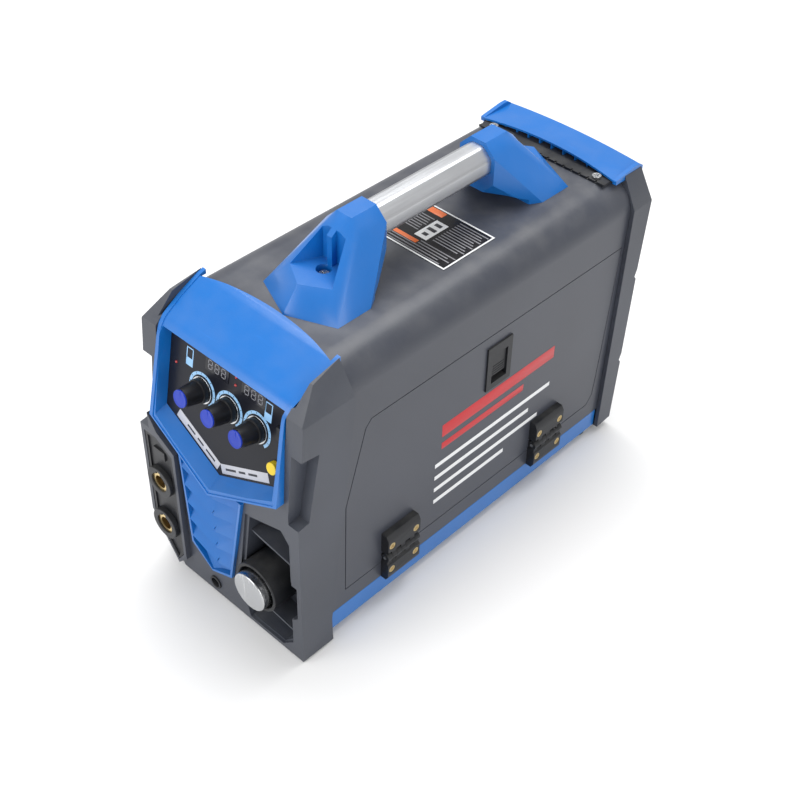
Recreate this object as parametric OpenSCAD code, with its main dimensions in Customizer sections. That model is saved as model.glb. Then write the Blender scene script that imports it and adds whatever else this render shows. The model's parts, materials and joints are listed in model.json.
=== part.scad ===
// Portable wire-feed welding machine: sheet cover, moulded end frames, carry handle,
// hinged side door, control panel, sockets, and the wire feeder, fan and electronics inside.
// Millimetres. +Z is up, -Y is the front panel, +X is the door side, Z = 0 is the floor.

/* [Cover] */
// Width across the sheet cover
cover_w = 197; // [190:1:200]
// Height of the cover's top face above the floor
cover_top = 320; // [318:1:322]
// Radius of the two long top edges
cover_r = 32; // [28:1:33]
// Thickness of the cover sheet
cover_t = 2.5; // [2:0.1:3]

/* [End frames] */
// Width across the moulded end frames
frame_w = 207; // [206:1:209]
// Front face of the front frame, measured from the middle of the machine
front_y = -235; // [-236:1:-234]
// Height of the rubber pads below the frames
foot_h = 10; // [9:1:11]

/* [Control panel] */
// Backward lean of the control panel in degrees
panel_tilt = 11; // [9:1:13]
// Distance between neighbouring knobs
knob_pitch = 36; // [34:1:38]
// Radius of a knob
knob_r = 10.5; // [9:0.5:11]
// Length of a knob
knob_h = 24; // [20:1:26]

/* [Sockets] */
// Bore radius of the two current sockets
socket_bore_r = 7; // [6:0.5:7.5]
// Outer radius of the insulating ring of a current socket
socket_r = 17; // [15:0.5:17]
// Thread radius of the torch connector
torch_r = 17; // [15:0.5:18]

/* [Handle] */
// Thickness of the grip tube across its flats
tube_flat = 34; // [30:1:35]
// Height of the tube's axis above the floor
tube_z = 366; // [364:1:370]
// Length of tube between the two handle feet
tube_span = 142; // [130:1:150]

/* [Door] */
// Height of the door's lower edge
door_z0 = 52; // [50:1:54]
// Height of the door's upper edge
door_z1 = 248; // [244:1:250]
// Gap all round the door
door_gap = 0.8; // [0.6:0.1:1.2]

/* [Wire feeder] */
// Radius of the wire spool's flanges
spool_r = 98; // [90:1:99]
// Width of the wire spool
spool_w = 50; // [45:1:52]
// Radius of the drive roll and of the pressure roll
roll_r = 15; // [13:0.5:16]

/* [Fan] */
// Size of the square cooling fan
fan_size = 92; // [80:1:92]

/* [Hidden] */
$fn = 64;

slate = [0.33, 0.34, 0.38];
dark = [0.20, 0.21, 0.24];
blue = [0.12, 0.48, 0.92];
black = [0.06, 0.06, 0.07];
steel = [0.72, 0.73, 0.75];
brass = [0.80, 0.66, 0.34];
copper = [0.75, 0.42, 0.22];
board = [0.10, 0.36, 0.20];

e = 0.05;                       // overshoot of a cut past a face
slip = 0.15;                    // room between two fixed parts that fit together
cx = cover_w / 2;               // half width of the cover
fx = frame_w / 2;               // half width of the frames
cover_z0 = 32.2;                // lower edge of the cover's sides
cover_in = cx - cover_t;        // inside face of the cover's sides
cham_z = 292;                   // height where the frames' top chamfer starts
cham_x = 87;                    // half width where the chamfer ends
frame_top = 325;                // top of the end frames
tray_y0 = -193;                 // front end of the base tray
tray_y1 = 212.5;                // rear end of the base tray
cover_y0 = -171.5;              // front end of the cover at its top

bezel_x = 86.8;                 // half width of the front bezel
rim_y = -224;                   // front edge of the bezel's hood
rim_z = 293;                    // height of that edge
vee_z = 162;                    // height of the lowest point of the bezel
bezel_low_z = 201;              // height of the bezel's lower outer corners

panel_y = -219.5;               // fascia's front face at the row of knobs
panel_z = 249;                  // height of the row of knobs
knob_shift = 4;                 // the middle knob stands this far to the right

socket_x = -81;                 // both current sockets
socket_zs = [117, 60];
pod_y = -241;                   // front of the raised pod round them
torch_x = 48;                   // torch connector
torch_z = 68;
flange_r = 26.5;                // outer radius of its ring
aux_x = -20;                    // small control socket
aux_z = 16;
feet_ys = [-206, 200];          // rubber pads, front and rear

handle_x = 8;                   // the handle's plane
handle_y = 18;                  // middle of the handle
foot_s = tube_span / 2;         // inner end of a handle foot, from the handle's middle
screw_s = 126;                  // screw of a handle foot, from the handle's middle

hinge_x = 103.6;                // axis of the door's hinges
hinge_z = 61.5;
hinge_ys = [-104.5, 114.5];     // middles of the two hinges
hinge_len = 44;                 // length of a hinge along its pin
pin_r = 2;                      // radius of a hinge pin
knuckle_r = 4.9;                // clears the door by 0.2 mm

latch_y = 30;                   // middle of the door's latch
latch_z = 209;

wall_x = 18;                    // left face of the partition plate
wall_t = 2;                     // thickness of the partition plate
spool_y = 104;                  // axis of the spool
spool_z = 150;
spool_x0 = 29;                  // left face of the spool
hub_r = 25;                     // radius of the spool's hub

roll_gap = 0.7;                 // free gap between the two rolls
feeder_y = -84;                 // axis of the drive roll
feeder_z = torch_z - roll_r - roll_gap / 2;
press_z = torch_z + roll_r + roll_gap / 2;
roll_w = 10;                    // width of a roll
roll_x0 = torch_x - roll_w / 2; // left face of the rolls
plate_x = roll_x0 - 8;          // left face of the feeder plate
arm_x = roll_x0 + roll_w + 3;   // left face of the pressure arm
arm_y = -130;                   // pivot of the pressure arm
arm_z = 92;
tension_x = arm_x + 5;          // axis of the tension screw
tension_y = -42;
guide_ys = [-112, -56];         // blocks that hold the wire guides

fan_x = -42;                    // centre of the fan
fan_z = 176;
rear_y = 228;                   // inner face of the rear panel
switch_x = 52;                  // centre of the power switch
switch_z = 262;
gland_x = 52;                   // centre of the cable inlet
gland_z = 206;
gas_x = 52;                     // centre of the gas inlet
gas_z = 150;

// Points along an arc in the drawing plane.
function arc(c, r, a0, a1, n) =
    [for (i = [0 : n]) c + r * [cos(a0 + (a1 - a0) * i / n), sin(a0 + (a1 - a0) * i / n)]];

// Draws a flat outline given as [x, z] points and makes it thick along Y.
module along_y(y0, y1) translate([0, y1, 0]) rotate([90, 0, 0]) linear_extrude(y1 - y0) children();

// Draws a flat outline given as [y, z] points and makes it thick along X.
module along_x(x0, x1) translate([x0, 0, 0]) rotate([90, 0, 90]) linear_extrude(x1 - x0) children();

// Places children on the leaning control panel: x stays, y runs up the panel, z points out of it.
module on_panel(x = 0, up = 0) {
  translate([0, panel_y, panel_z]) rotate([90 - panel_tilt, 0, 0]) translate([x, up, 0]) children();
}

module box(x0, x1, y0, y1, z0, z1) translate([x0, y0, z0]) cube([x1 - x0, y1 - y0, z1 - z0]);

module rod_x(x0, x1, y, z, r) translate([x0, y, z]) rotate([0, 90, 0]) cylinder(h = x1 - x0, r = r);

module rod_y(x, y0, y1, z, r) translate([x, y1, z]) rotate([90, 0, 0]) cylinder(h = y1 - y0, r = r);

module ring_y(x, y0, y1, z, r_out, r_in) difference() {
  rod_y(x, y0, y1, z, r_out);
  rod_y(x, y0 - 1, y1 + 1, z, r_in);
}

// Outline of the cover seen from the front, grown outwards by g.
module cover_outline(g = 0, bottom = cover_z0) {
  polygon(concat([[cx + g, bottom]],
                 arc([cx - cover_r, cover_top - cover_r], cover_r + g, 0, 90, 14),
                 arc([cover_r - cx, cover_top - cover_r], cover_r + g, 90, 180, 14),
                 [[-cx - g, bottom]]));
}

// Outline of both end frames seen from the front.
module frame_outline() {
  polygon([[-fx, 2], [fx, 2], [fx, cham_z], [cham_x, frame_top], [-cham_x, frame_top], [-fx, cham_z]]);
}

// ---- Body ----

module base_tray() color(blue) difference() {
  box(-cx, cx, tray_y0, tray_y1, foot_h, cover_z0 - slip);
  box(-cx + 3, cx - 3, tray_y0 + 3, tray_y1 - 3, foot_h + 3, cover_z0);
  for (x = [-60 : 24 : 60]) box(x - 4, x + 4, -40, 40, foot_h - 1, foot_h + 4);
}

module door_outline(g = 0) {
  polygon([[-174 - g, door_z0 - g], [192 + g / 2, door_z0 - g], [200 + g, 62 - g / 2],
           [203 + g, 90], [216 + g, door_z1 + g], [-140 - g / 2, door_z1 + g],
           [-147 - g, 241 + g / 2], [-172 - g, 160]]);
}

module shell_cover() color(slate) difference() {
  along_y(-202, 226) difference() {
    cover_outline();
    polygon(concat([[cover_in, 0]],
                   arc([cx - cover_r, cover_top - cover_r], cover_r - cover_t, 0, 90, 14),
                   arc([cover_r - cx, cover_top - cover_r], cover_r - cover_t, 90, 180, 14),
                   [[-cover_in, 0]]));
  }
  along_x(-cx - 1, cx + 1) polygon([[-203, 20], [-202, 30], [cover_y0, 270], [cover_y0, 330],
                                    [-203, 330]]);
  along_x(cover_in - 1, cx + 1) door_outline(door_gap);
  // louvres in the plain side, beside the heat sinks
  for (i = [0 : 7]) box(-cx - 1, -cover_in + 1, 60, 150, 100 + 14 * i, 104 + 14 * i);
  // outlet slots under the rear cap
  for (i = [-3 : 3]) box(i * 18 - 6, i * 18 + 6, 223, 227, cover_top - 5, cover_top + 1);
  for (s = [-1, 1]) translate([handle_x, handle_y + s * screw_s, 300]) cylinder(h = 40, r = 2.6);
}

// Side view of the bezel: a hood that slopes to the front, a rounded brow and a leaning face.
module bezel_side(g = 0) {
  polygon(concat([[-150, cover_top + slip], [-150, 325.6 + g], [-165, 325 + g], [-172, 322.8 + g]],
                 arc([-200.06, 280.2], 26 + g, 113, 169, 10),
                 [[-251.4 - g, 152], [-214 + g, 152], [-214 + g, 205], [-188 + g, 262],
                  [-178 + g, 300], [cover_y0 - 0.6 + g, 311], [cover_y0 - 0.6 + g, cover_top + slip]]));
}

// Front view of the bezel: straight sides and a lip that runs down to a point.
module bezel_front(g = 0) {
  half = [[bezel_x + g, 340], [bezel_x + g, 312], [82 + g, 290], [85.2 + g, bezel_low_z - g]];
  polygon(concat(half, [[0, vee_z - g * 1.1]], [for (i = [3 : -1 : 0]) [-half[i][0], half[i][1]]]));
}

// Space that the bezel and everything under its hood fill.
module bezel_space(g = 0) intersection() {
  along_y(-270, -140) bezel_front(g);
  along_x(-bezel_x - g, bezel_x + g) bezel_side(g);
}

module front_frame() color(dark) difference() {
  union() {
    intersection() {
      along_y(-240, -150) frame_outline();
      along_x(-fx, fx) polygon([[front_y, 2], [-196, 2], [-197, 32], [-164, 282], [-167, 325],
                                [-200, 318], [-224, 294], [-226, 270], [front_y + 1, 190]]);
    }
    // raised pod round the two current sockets
    along_y(pod_y, front_y + 4) polygon([[-fx, 204], [-92, 200], [-80, 180], [-57, 166], [-57, 24],
                                         [-70, 10], [-fx, 60]]);
  }
  // room for the front end of the cover and the base tray
  difference() {
    along_y(-204, -140) cover_outline(slip, foot_h - slip);
    along_x(-fx, fx) polygon([[-210, 0], [-202.3, 30], [cover_y0 - 0.3, 270], [cover_y0 - 0.3, 330],
                              [-210, 330]]);
  }
  // hollows behind the sockets and the bezel, open to the inside of the machine
  along_y(-222, -180) polygon([[-93, 68], [-68, 24], [-60, 12], [18, 12], [18, 174], [-93, 174]]);
  for (z = socket_zs) rod_y(socket_x, -230, -190, z, 11);
  for (z = socket_zs) rod_y(socket_x, -260, -238.9, z, socket_r + 0.1);
  box(3 - bezel_x, bezel_x - 3, -226, -160, 176, 330);
  bezel_space(slip);
  box(-bezel_x - slip, bezel_x + slip, -260, -150, 300, 340);
  along_y(-250, -221) socket_outline(slip);
  // the lower left corner is cut back under the sockets
  along_y(-260, -218) polygon([[-110, 64], [-fx, 64], [-69, 2], [-69, 0], [-110, 0]]);
  // pocket of the torch connector, with a step round it and two thin shelves across it
  difference() {
    along_y(-240, -206) torch_outline();
    for (z = [124, 32]) along_y(-228, -205) translate([30, z]) rotate(-8) square([70, 2.4]);
  }
  along_y(-240, -232) torch_outline(3.5);
  rod_y(torch_x, -240, -206, torch_z, flange_r + 0.3);
  rod_y(torch_x, -240, -150, torch_z, torch_r + 0.3);
  along_y(-240, -190) grille_outline(slip);
  rod_y(aux_x, -240, -200, aux_z, 7.5);
  // stepped recesses on the front corners
  for (s = [-1, 1]) mirror([s < 0 ? 1 : 0, 0, 0])
    along_x(91, 110) polygon([[-260, 176], [-221, 182], [-207, 254], [-260, 262]]);
  box(80, 98, -240, -222, 66, 101);
  along_y(-240, -222) polygon([[80, 66], [98, 66], [98, 60], [80, 42]]);
  for (s = [-1, 1]) translate([s * 84, feet_ys[0], -1]) cylinder(h = foot_h + 1 + e, r = 11.2);
}

module socket_outline(g = 0) {
  polygon([[-99 - g, 58], [-70, 15 - g], [-61 + g, 28 - g], [-61 + g, 160 + g], [-82, 172 + g],
           [-99 - g, 172 + g]]);
}

module grille_outline(g = 0) {
  polygon([[-54 - g, 176], [-48 - g, 56 - g], [-20, 35 - g], [9 + g, 47 - g], [32 + g, 164]]);
}

module torch_outline(g = 0) {
  polygon([[36 - g, 148 + g], [80, 162 + g], [88 + g, 152], [87 + g, 20], [76, 8 - g / 2],
           [30, 8 - g / 2], [25 - g, 40], [25 - g, 76]]);
}

module rear_frame() color(dark) difference() {
  intersection() {
    along_y(200, 256) frame_outline();
    along_x(-fx, fx) polygon([[213.5, 8], [236, 10], [240, 88], [237, 92], [240, 100], [244, 198],
                              [241, 202], [244, 210], [250, 292], [247, frame_top],
                              [221, frame_top], [221, 290]]);
  }
  along_y(190, 227) cover_outline(slip, foot_h - slip);
  along_y(190, rear_y + 3.2) square_outline(94, 16, 306);
  along_y(190, 260) square_outline(88, 22, 300);
  // seat of the blue cap
  box(-cham_x, cham_x, 200, 260, cover_top - 1, 340);
}

module square_outline(x, z0, z1) translate([-x, z0]) square([2 * x, z1 - z0]);

module rubber_feet() color(black) for (s = [-1, 1], y = feet_ys)
  translate([s * 84, y, 0]) difference() {
    cylinder(h = foot_h - (y > 0 ? 0.02 : 0), r1 = 10, r2 = 11);
    translate([0, 0, -1]) cylinder(h = 3, r = 3);
  }

module label_plate() color(black) box(-16, 62, -13, 57, cover_top + 0.02, cover_top + 0.6);

// ---- Front bezel, grille and panel ----

// Opening in the bezel's front, in panel coordinates, grown by g.
module window_outline(g = 0) {
  polygon([[-77 - g, 44 + g], [-77 - g, -40 - g / 2], [0, -74 - g], [77 + g, -40 - g / 2],
           [77 + g, 44 + g]]);
}

module front_bezel() color(blue) difference() {
  union() {
    // hood and face, bowed along the rear edge
    intersection() {
      along_y(-270, -140) bezel_front();
      along_x(-bezel_x, bezel_x) bezel_side(-1);
      translate([0, -447, 0]) cylinder(h = 400, r = 287, $fn = 128);
    }
    // raised rims along both sides, which end in short ears on top of the cover
    for (s = [-1, 1]) mirror([s < 0 ? 1 : 0, 0, 0]) intersection() {
      along_y(-270, -165) difference() {
        bezel_front();
        translate([-4.2, 0]) bezel_front();
      }
      along_x(0, bezel_x) bezel_side();
    }
  }
  // window: its lower walls flare out to the bezel's pointed lip
  hull() {
    on_panel() translate([0, 0, -0.01]) linear_extrude(0.02) window_outline();
    on_panel() translate([0, 0, 30]) linear_extrude(0.02)
      polygon([[-80, 47], [-80.6, -60], [0, -102], [80.6, -60], [80, 47]]);
  }
  // room behind the fascia for the circuit board
  on_panel() translate([0, 0, -70]) linear_extrude(70.1) window_outline(3);
  // hollow of the hood
  along_x(-80, 80) polygon([[-140, 290], [-140, 318], [-178, 316], [-205, 303], [-208, 297], [-200, 290]]);
}

module control_fascia() color(black) difference() {
  on_panel() translate([0, 0, -3]) linear_extrude(3) window_outline(2.8);
  for (i = [-1 : 1]) on_panel(knob_shift + i * knob_pitch) translate([0, 0, -4])
    cylinder(h = 6, r = 3.6);
  for (x = display_xs) on_panel(x, display_up) translate([-15 - slip, -7 - slip, -4])
    cube([30 + 2 * slip, 14 + 2 * slip, 6]);
  on_panel(button_x, button_up) translate([0, 0, -4]) cylinder(h = 6, r = 6.3);
  on_panel(switch_u, switch_up) translate([-4.3, -6.5, -4]) cube([8.6, 13, 6]);
}
display_xs = [-15, 32];
display_up = 31;
button_x = 66;
button_up = -24;
switch_u = 68;
switch_up = 12;

module display_windows() color([0.25, 0.26, 0.28]) for (x = display_xs)
  on_panel(x, display_up) translate([-15, -7, -2.5]) cube([30, 14, 3.1]);

module knob(i) color(black) on_panel(knob_shift + i * knob_pitch) difference() {
  union() {
    translate([0, 0, 1.8]) cylinder(h = 5, r = knob_r + 1.2);
    translate([0, 0, 6]) cylinder(h = knob_h - 6, r1 = knob_r, r2 = knob_r - 1.5);
    // drive shaft down to the control behind the panel
    translate([0, 0, -9]) cylinder(h = 13, r = 3);
  }
  // pointer groove
  translate([-0.6, knob_r - 4, knob_h - 1]) cube([1.2, 8, 2]);
}
module knob_left() knob(-1);
module knob_middle() knob(0);
module knob_right() knob(1);

module knob_collars() color(steel) for (i = [-1 : 1]) on_panel(knob_shift + i * knob_pitch)
  difference() {
    translate([0, 0, 0.02]) cylinder(h = 1.4, r = 13);
    translate([0, 0, -1]) cylinder(h = 4, r = 3.6);
  }

module test_button() color([0.95, 0.82, 0.1]) on_panel(button_x, button_up) {
  translate([0, 0, -5]) cylinder(h = 10, r = 6);
  translate([0, 0, -7]) cylinder(h = 3, r = 7.5);
}

module mode_switch() color(black) on_panel(switch_u, switch_up) {
  translate([-4, 0, 0]) rotate([90, 0, 90]) linear_extrude(8)
    polygon([[-5.9, -3.8], [5.9, -3.8], [5.9, 2.6], [0, 1.4], [-5.9, 2.6]]);
  rod_x(-4.2, 4.2, 0, -2, 0.8);
}

// Circuit board behind the fascia with the three turning controls that hold the knobs' shafts.
module control_board() color(board) {
  on_panel() translate([-72, -38, -12]) cube([144, 80, 1.6]);
  for (i = [-1 : 1]) on_panel(knob_shift + i * knob_pitch) difference() {
    translate([0, 0, -10.5]) cylinder(h = 7.4, r = 8.5);
    translate([0, 0, -9.5]) cylinder(h = 8, r = 3.05);
  }
}

module front_grille() color(blue) difference() {
  union() {
    along_y(-238, -226) difference() {
      grille_outline();
      grille_outline(-2.4);
    }
    // five sloping slats that follow the V of the bezel
    intersection() {
      along_y(-240, -222) grille_outline(-1.5);
      for (i = [0 : 5]) translate([0, 0, 150 - i * 22]) slat();
    }
  }
  bezel_space(slip);
}

// One V-shaped slat, its lower edge standing forward.
module slat() for (s = [-1, 1]) translate([-11, 0, 0]) mirror([s < 0 ? 1 : 0, 0, 0])
  rotate([0, -19, 0]) translate([-1, 0, 0]) along_x(0, 50)
    polygon([[-238, -8], [-234, -8], [-224, 9], [-228, 9]]);

// ---- Sockets ----

module socket_panel() color(black) difference() {
  union() {
    along_y(pod_y + 2, -222) socket_outline();
    along_y(pod_y + 0.5, pod_y + 2 + e) difference() {
      socket_outline(-0.5);
      socket_outline(-3.5);
      for (z = socket_zs) translate([socket_x, z]) circle(r = socket_r + 0.1);
    }
    along_y(pod_y, pod_y + 2 + e) translate([-88, 148]) square([16, 10]);
  }
  for (z = socket_zs) rod_y(socket_x, -250, -200, z, socket_r - 2);
  along_y(-260, -218) polygon([[-110, 64.5], [-fx, 64.5], [-68.5, 2], [-68.5, 0], [-110, 0]]);
}

module socket_rings() color(black) for (z = socket_zs) difference() {
  union() {
    ring_y(socket_x, pod_y - 4, pod_y + 2, z, socket_r, 10.5);
    ring_y(socket_x, pod_y + 2 - e, -221, z, socket_r - 2 - slip, 10.5);
  }
  // key slot at the top of the bore
  box(socket_x - 2.5, socket_x + 2.5, pod_y - 6, pod_y + 8, z + 8, z + 13);
}

module socket_sleeves() color(brass) for (z = socket_zs) difference() {
  rod_y(socket_x, pod_y - 2, -200, z, 10.5 - 0.05);
  rod_y(socket_x, pod_y - 3, -208, z, socket_bore_r);
}

module torch_flange() color(black) {
  ring_y(torch_x, -241, -206.1, torch_z, flange_r, 23);
  ring_y(torch_x, -213, -206.1, torch_z, 24, torch_r + 0.2);
}

module torch_connector() color(brass) difference() {
  union() {
    rod_y(torch_x, -238, -196, torch_z, torch_r);
    rod_y(torch_x, -196 - e, -150, torch_z, 9);
  }
  rod_y(torch_x, -240, -149, torch_z, 3.5);
}

module torch_cap() color(steel) difference() {
  rod_y(torch_x, -249.5, -226, torch_z, 20.5);
  rod_y(torch_x, -246, -225, torch_z, torch_r + 0.1);
}

module control_socket() color(black) {
  ring_y(aux_x, -236.5, -205, aux_z, 7.3, 5.4);
  rod_y(aux_x, -226, -205, aux_z, 6);
  for (a = [45 : 90 : 359]) translate([aux_x, 0, aux_z]) rotate([0, a, 0])
    rod_y(2.6, -231, -225, 0, 0.7);
}

// ---- Carry handle ----

module tube_outline(g = 0) intersection() {
  circle(r = tube_flat / 2 / cos(22.5) + g, $fn = 8);
  rotate(22.5) circle(r = tube_flat / 2 + 0.7 + g);
}

module handle_tube() color(steel)
  translate([handle_x, 0, tube_z]) along_y(handle_y - foot_s - 28, handle_y + foot_s + 28)
    difference() {
      rotate(22.5) tube_outline();
      circle(r = tube_flat / 2 - 3);
    }

// A handle foot for the end that lies towards +Y, seen from the handle's middle. An octagonal
// collar runs down over a shelf to a pointed base.
module handle_foot() {
  s0 = foot_s;
  difference() {
    hull() {
      translate([0, 0, tube_z]) along_y(s0, s0 + 30)
        rotate(22.5) circle(r = collar_flat / 2 / cos(22.5), $fn = 8);
      translate([0, 0, tube_z - 10]) along_y(s0, s0 + 16)
        rotate(22.5) circle(r = collar_flat / 2 / cos(22.5), $fn = 8);
      translate([0, 0, shelf_z - 0.1]) linear_extrude(0.1)
        polygon([[-26, s0 + 70], [26, s0 + 70], [0, s0 + 86]]);
      translate([0, 0, cover_top]) linear_extrude(0.1)
        polygon([[-40, s0 + 33], [40, s0 + 33], [47, s0 + 45], [47, s0 + 84], [0, s0 + 104],
                 [-47, s0 + 84], [-47, s0 + 45]]);
    }
    // socket of the tube
    translate([0, 0, tube_z]) along_y(0, s0 + 28.1) rotate(22.5) tube_outline(0.06);
    // shelf over the screw, with a rib on its back wall
    translate([0, 0, shelf_z]) linear_extrude(80)
      polygon([[-14, s0 + 42], [-3, s0 + 42], [-3, s0 + 48], [3, s0 + 48], [3, s0 + 42],
               [14, s0 + 42], [26, s0 + 70], [26, s0 + 130], [-26, s0 + 130], [-26, s0 + 70]]);
    translate([0, screw_s, cover_top - 1]) cylinder(h = 30, r = 2.7);
    translate([0, screw_s, cover_top + 16]) cylinder(h = 30, r = 7.2);
    // room for fingers below the collar
    along_x(-60, 60) polygon([[s0 - 1, cover_top - 1], [s0 - 1, tube_z - 31], [s0 + 15, tube_z - 34],
                              [s0 + 33, cover_top + 5], [s0 + 33, cover_top - 1]]);
  }
}
collar_flat = 43;
shelf_z = cover_top + 23;

module handle_foot_rear() color(blue) translate([handle_x, handle_y, 0.02]) handle_foot();
module handle_foot_front() color(blue) translate([handle_x, handle_y, 0.02]) mirror([0, 1, 0])
  handle_foot();

strip_screw_x = 66;
strip_screw_y = 203;

module pan_screw(head_z, length, r = 2.5) {
  translate([0, 0, head_z - length]) cylinder(h = length + 0.5, r = r);
  difference() {
    translate([0, 0, head_z]) cylinder(h = 2.6, r = 4.6);
    for (a = [0, 90]) rotate(a) translate([-3, -0.6, head_z + 1.2]) cube([6, 1.2, 3]);
  }
}

module top_screws() color(steel) {
  for (s = [-1, 1]) translate([handle_x, handle_y + s * screw_s, 0])
    pan_screw(cover_top + 16.05, 25);
  for (s = [-1, 1]) translate([s * strip_screw_x, strip_screw_y, 0])
    pan_screw(cover_top + 2.05, 1.9, 2);
}

// ---- Door ----

module door() color(slate) difference() {
  union() {
    along_x(cover_in - 0.3, cx) door_outline();
    // stiffening tray pressed inwards
    along_x(cover_in - 3.3, cover_in - 0.2) difference() {
      door_ring(0);
      door_ring(6);
    }
  }
  box(cover_in - 6, cx + 1, latch_y - 15 - slip, latch_y + 15 + slip, latch_z - 23 - slip,
      latch_z + 23 + slip);
}

module door_ring(g) polygon([[-160 + g, 66 + g], [188 - g, 66 + g], [202 - g, 236 - g],
                             [-136 + g, 236 - g], [-158 + g, 160]]);

module latch_frame() color(black) difference() {
  union() {
    box(cx + 0.02, cx + 2, latch_y - 17.5, latch_y + 17.5, latch_z - 26, latch_z + 26);
    box(cover_in - 9, cx + 0.1, latch_y - 15, latch_y + 15, latch_z - 23, latch_z + 23);
  }
  box(cover_in - 5.5, cx + 3, latch_y - 11, latch_y + 11, latch_z - 19, latch_z + 15);
  rod_y(paddle_x, latch_y - 13.5, latch_y + 13.5, latch_z + paddle_up, 1.25);
}

// The paddle turns on two short pins at its upper edge and is pushed in at its lower edge.
module latch_paddle() color(dark) {
  difference() {
    box(cx - 1.8, cx + 0.2, latch_y - 10.6, latch_y + 10.6, latch_z - 12, latch_z + paddle_up);
    for (i = [0 : 3])
      box(cx - 0.3, cx + 1, latch_y - 8, latch_y + 8, latch_z - 10 + i * 3, latch_z - 9 + i * 3);
  }
  rod_y(paddle_x, latch_y - 13, latch_y + 13, latch_z + paddle_up, 1.2);
}
paddle_x = cx - 1.6;
paddle_up = 12.8;

module knuckles(y, first) for (i = [first : 2 : 6])
  rod_y(hinge_x, y - hinge_len / 2 + i * hinge_len / 7 + 0.15,
        y - hinge_len / 2 + (i + 1) * hinge_len / 7 - 0.15, hinge_z, knuckle_r);

// One leaf with its knuckles; s = -1 hangs below the axis, s = 1 stands above it.
module hinge_leaf(y, s, first) difference() {
  union() {
    knuckles(y, first);
    translate([0, 0, hinge_z]) mirror([0, 0, s < 0 ? 1 : 0]) {
      along_y(y - hinge_len / 2, y + hinge_len / 2)
        polygon([[cx + 0.05, 6.2], [hinge_x + 1.5, 6.2], [hinge_x + 4.6, 9.5], [hinge_x + 4.6, 25],
                 [hinge_x + 1.5, 30], [cx + 0.05, 30]]);
      for (i = [first : 2 : 6]) translate([0, y + (i - 3.5) * hinge_len / 7, 0])
        box(hinge_x - 3.2, hinge_x + 3.2, 0.15, hinge_len / 7 - 0.15, 0, 8);
    }
  }
  rod_y(hinge_x, y - 40, y + 40, hinge_z, pin_r + 0.05);
  for (d = [-1, 1]) rod_x(cx - 1, hinge_x + 9, y + d * 16.4, hinge_z + s * 16.2, 2.2);
  for (d = [-1, 1]) rod_x(hinge_x + 2.4, hinge_x + 9, y + d * 16.4, hinge_z + s * 16.2, 4.1);
}

module hinge_leaves_body() color(black) for (y = hinge_ys) hinge_leaf(y, -1, 0);
module hinge_leaves_door() color(black) for (y = hinge_ys) hinge_leaf(y, 1, 1);

module hinge_pins() color(steel) for (y = hinge_ys)
  rod_y(hinge_x, y - hinge_len / 2 - 0.4, y + hinge_len / 2 + 0.4, hinge_z, pin_r);

module hinge_screws(s) for (y = hinge_ys, d = [-1, 1])
  translate([0, y + d * 16.4, hinge_z + s * 16.2]) rotate([0, 90, 0]) difference() {
    union() {
      translate([0, 0, cx + 0.1]) cylinder(h = hinge_x - cx + 3, r = 2.1);
      translate([0, 0, hinge_x + 2.45]) cylinder(h = 1.9, r = 3.8);
    }
    for (a = [45, 135]) rotate(a) translate([-2.6, -0.5, hinge_x + 3.5]) cube([5.2, 1, 2]);
  }
module hinge_screws_body() color(brass) hinge_screws(-1);
module hinge_screws_door() color(brass) hinge_screws(1);

// ---- Rear ----

function crown(x) = 4 * (1 - pow(x / 86, 2));

module rear_cap() color(blue) {
  difference() {
    along_y(205, 250) polygon(concat([for (x = [86 : -8.6 : -86]) [x, 324.5 + crown(x)]],
                                     [for (x = [-86 : 8.6 : 86]) [x, 322.4 + crown(x)]]));
    translate([0, -322, 300]) cylinder(h = 60, r = 535, $fn = 200);
  }
  // side ears
  for (s = [-1, 1]) mirror([s < 0 ? 1 : 0, 0, 0]) along_x(82.5, cham_x - slip)
    polygon([[207, 320.4], [250, 319.3], [250, 325], [244, 329], [236, 329], [207, 325]]);
  // rear drop and the thin fins under the front edge
  along_y(246, 250) polygon(concat([for (x = [82.6 : -8.26 : -82.6]) [x, 323.5 + crown(x)]],
                                   [[-82.6, 319.3], [82.6, 319.3]]));
  for (i = [-4 : 4]) intersection() {
    box(i * 15 - 0.9, i * 15 + 0.9, 214.5, 247, cover_top + 0.3, 330);
    along_y(200, 250) polygon(concat([for (x = [86 : -8.6 : -86]) [x, 323 + crown(x)]],
                                     [[-86, 300], [86, 300]]));
  }
}

module vent_strip() color(black) difference() {
  union() {
    box(-80, 80, 196, 210, cover_top + 0.02, cover_top + 2);
    box(-80, 80, 196, 197.6, cover_top + 0.02, cover_top + 2.6);
  }
  for (i = [-7 : 7]) box(i * 10 - 1, i * 10 + 1, 195, 199, cover_top + 0.8, cover_top + 5);
  for (s = [-1, 1]) translate([s * strip_screw_x, strip_screw_y, 310]) cylinder(h = 20, r = 2.1);
}

module rear_panel() color(dark) difference() {
  union() {
    along_y(rear_y, rear_y + 3) square_outline(93.8, 16.2, 305.8);
    box(switch_x - 12, switch_x + 12, rear_y, rear_y + 4.5, switch_z - 16, switch_z + 16);
  }
  rod_y(fan_x, 200, 240, fan_z, fan_size / 2 - 2);
  for (sx = [-1, 1], sz = [-1, 1])
    rod_y(fan_x + sx * (fan_size / 2 - 5), 200, 240, fan_z + sz * (fan_size / 2 - 5), 2.2);
  box(switch_x - 8.4, switch_x + 8.4, 220, 240, switch_z - 12.6, switch_z + 12.6);
  rod_y(gland_x, 220, 240, gland_z, 10.1);
  rod_y(gas_x, 220, 240, gas_z, 6.1);
  for (i = [0 : 5]) box(-82, -6, 220, 240, 48 + i * 10, 52 + i * 10);
}

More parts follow.
